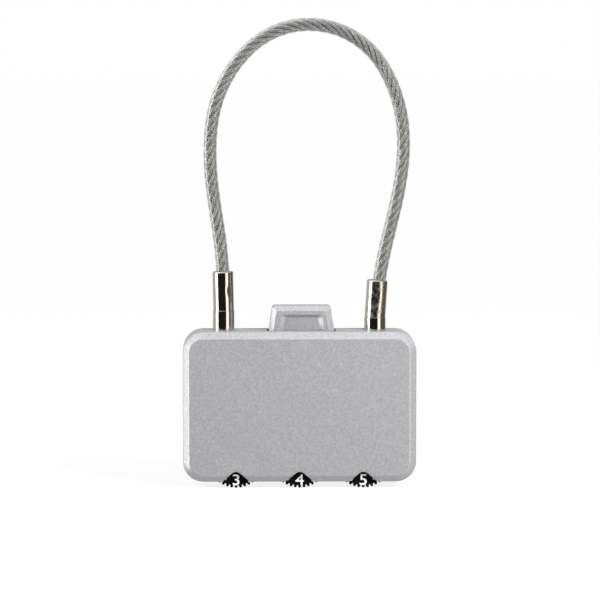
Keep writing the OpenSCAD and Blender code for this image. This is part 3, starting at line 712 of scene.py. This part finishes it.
# What shiny parts see at eye level, from azimuth -180 to 180 degrees, where 0 is towards
# the camera and 90 to the right: dark towards the camera, with a bright panel on each side
EYE_LEVEL = [
    (-180, 0.62, 0.62, 0.61), (-90, 0.52, 0.51, 0.50), (-84, 5.6, 5.5, 5.4),
    (-66, 5.6, 5.5, 5.4), (-61, 0.015, 0.013, 0.012), (27, 0.015, 0.013, 0.012),
    (32, 1.9, 1.8, 1.65), (54, 1.8, 1.65, 1.45), (60, 0.16, 0.12, 0.09),
    (120, 0.10, 0.08, 0.07), (150, 0.45, 0.44, 0.43), (180, 0.62, 0.62, 0.61),
]

# Higher up: a large soft light over the camera, stronger on the left
HIGH_UP = [
    (-180, 0.4, 0.4, 0.4), (-110, 0.6, 0.6, 0.6), (-80, 1.7, 1.7, 1.7), (-50, 1.5, 1.5, 1.5),
    (-20, 0.85, 0.85, 0.86), (50, 0.85, 0.85, 0.87), (90, 0.5, 0.5, 0.51), (180, 0.4, 0.4, 0.4),
]

# Below: the even glow of the floor
FLOOR_GLOW = (0.36, 0.36, 0.365)

# Elevations between which one of these fades into the next
FLOOR_EDGE = (-40, -18)
UPPER_EDGE = (14, 30)


def math_node(tree, operation, *values):
    """A math node's output; each value is a number or another node's output."""
    n = tree.nodes.new("ShaderNodeMath")
    n.operation = operation
    for socket, value in zip(n.inputs, values):
        if isinstance(value, bpy.types.NodeSocket):
            tree.links.new(value, socket)
        else:
            socket.default_value = value
    return n.outputs[0]


def ring_of_light(tree, share, bands):
    """Colour by azimuth, where share runs from 0 to 1 once round."""
    ramp = tree.nodes.new("ShaderNodeValToRGB")
    stops = ramp.color_ramp.elements
    while len(stops) < len(bands):
        stops.new(0.5)
    for stop, (degrees, *colour) in zip(stops, bands):
        stop.position = (degrees + 180) / 360
        stop.color = (*[c / PEAK for c in colour], 1)
    tree.links.new(share, ramp.inputs[0])
    return ramp.outputs[0]


def blend_by_height(tree, z, start, end, below, above):
    """One colour under a start elevation, another over an end elevation, in degrees."""
    height = tree.nodes.new("ShaderNodeMapRange")
    height.interpolation_type = "SMOOTHSTEP"
    height.inputs["From Min"].default_value = math.sin(math.radians(start))
    height.inputs["From Max"].default_value = math.sin(math.radians(end))
    tree.links.new(z, height.inputs["Value"])
    mix = tree.nodes.new("ShaderNodeMix")
    mix.data_type = "RGBA"
    for source, socket in ((height.outputs[0], 0), (below, 6), (above, 7)):
        tree.links.new(source, mix.inputs[socket])
    return mix.outputs[2]


def make_world():
    """Plain white to the camera, and a soft studio to everything else."""
    world = bpy.data.worlds.new("studio")
    bpy.context.scene.world = world
    world.use_nodes = True
    tree = world.node_tree
    new, link = tree.nodes.new, tree.links.new
    tree.nodes.clear()
    split = new("ShaderNodeSeparateXYZ")
    link(new("ShaderNodeTexCoord").outputs["Generated"], split.inputs[0])
    x, y, z = split.outputs
    azimuth = math_node(tree, "ARCTAN2", x, math_node(tree, "MULTIPLY", y, -1))
    share = math_node(tree, "ADD", math_node(tree, "DIVIDE", azimuth, TURN), 0.5)
    glow = new("ShaderNodeRGB")
    glow.outputs[0].default_value = (*[c / PEAK for c in FLOOR_GLOW], 1)
    eye_level = ring_of_light(tree, share, EYE_LEVEL)
    upper = blend_by_height(tree, z, *UPPER_EDGE, eye_level, ring_of_light(tree, share, HIGH_UP))
    lit = new("ShaderNodeBackground")
    lit.inputs["Strength"].default_value = PEAK
    link(blend_by_height(tree, z, *FLOOR_EDGE, glow.outputs[0], upper), lit.inputs["Color"])
    seen = new("ShaderNodeBackground")
    seen.inputs["Color"].default_value = (1, 1, 1, 1)
    mix = new("ShaderNodeMixShader")
    link(new("ShaderNodeLightPath").outputs["Is Camera Ray"], mix.inputs[0])
    link(lit.outputs[0], mix.inputs[1])
    link(seen.outputs[0], mix.inputs[2])
    out = new("ShaderNodeOutputWorld")
    link(mix.outputs[0], out.inputs["Surface"])


def add_near_light():
    """Softbox close by on the right, above: the case is a little brighter on that side."""
    place = Vector((150, -160, 150)) * MM
    middle = Vector((0, 0, 14)) * MM
    light = bpy.data.lights.new("near_softbox", "AREA")
    light.size = 90 * MM
    light.energy = 0.95
    obj = bpy.data.objects.new("near_softbox", light)
    obj.location = place
    obj.rotation_euler = (place - middle).to_track_quat("Z", "Y").to_euler()
    obj.visible_camera = False
    obj.visible_glossy = False
    bpy.context.scene.collection.objects.link(obj)


def make_floor():
    """Plain white floor that glows a little, so the object's shadow on it stays faint."""
    size = 4.0
    z = cad_box[0][2]
    s = Shader("floor_white", Roughness=0.9)
    s.link(
        s.tint((0.2, 0.2, 0.2), s.spread(s.noise(0.02, 3), 0.98, 1.0)),
        s.surface.inputs["Base Color"],
    )
    s.set(Emission_Color=(1, 1, 1, 1), Emission_Strength=0.8)
    corners = [(-size, -size, z), (size, -size, z), (size, size, z), (-size, size, z)]
    floor = add_mesh("floor", corners, [(0, 1, 2, 3)], s.material, smooth=False)
    floor.visible_glossy = False


def add_camera():
    """Long lens, almost straight on, a little above and to the left of the middle."""
    azimuth, elevation, distance = -1.0, 4.5, 0.62
    target = Vector((0.08, -2.5, 32.2)) * MM
    width_seen = 102.7 * MM
    a, e = math.radians(azimuth), math.radians(elevation)
    away = Vector((math.sin(a) * math.cos(e), -math.cos(a) * math.cos(e), math.sin(e)))
    camera = bpy.data.cameras.new("camera")
    camera.sensor_width = 36
    camera.lens = camera.sensor_width * distance / width_seen
    camera.clip_start = 0.01
    obj = bpy.data.objects.new("camera", camera)
    obj.location = target + away * distance
    obj.rotation_euler = away.to_track_quat("Z", "Y").to_euler()
    bpy.context.scene.collection.objects.link(obj)
    bpy.context.scene.camera = obj


# ---------------------------------------------------------------- build

dress_cad_parts()
bend_with_plug(make_rope())
bend_with_plug(make_coating())
make_sleeve(
    "anchor_sleeve", "anchor_crimp_sleeve", "case", NICKEL,
    degrees=35, share=0.5, half_width=0.42 * MM, half_height=0.7 * MM, depth=0.09 * MM)
make_sleeve(
    "plug_sleeve", "plug_crimp_sleeve", "plug", WORN_NICKEL,
    degrees=2, share=0.62, half_width=0.6 * MM, half_height=1.9 * MM, depth=0.1 * MM)
for pin, body in (("anchor_pin", "case"), ("plug_pin", "plug")):
    make_pin(pin, f"{pin}_turned", body, *groove_of(pin))
for side, first in (("left", 3), ("mid", 4), ("right", 5)):
    make_numbers(side, first)
make_handle_springs()

bpy.context.scene.view_settings.view_transform = "Standard"
make_world()
add_near_light()
make_floor()
add_camera()
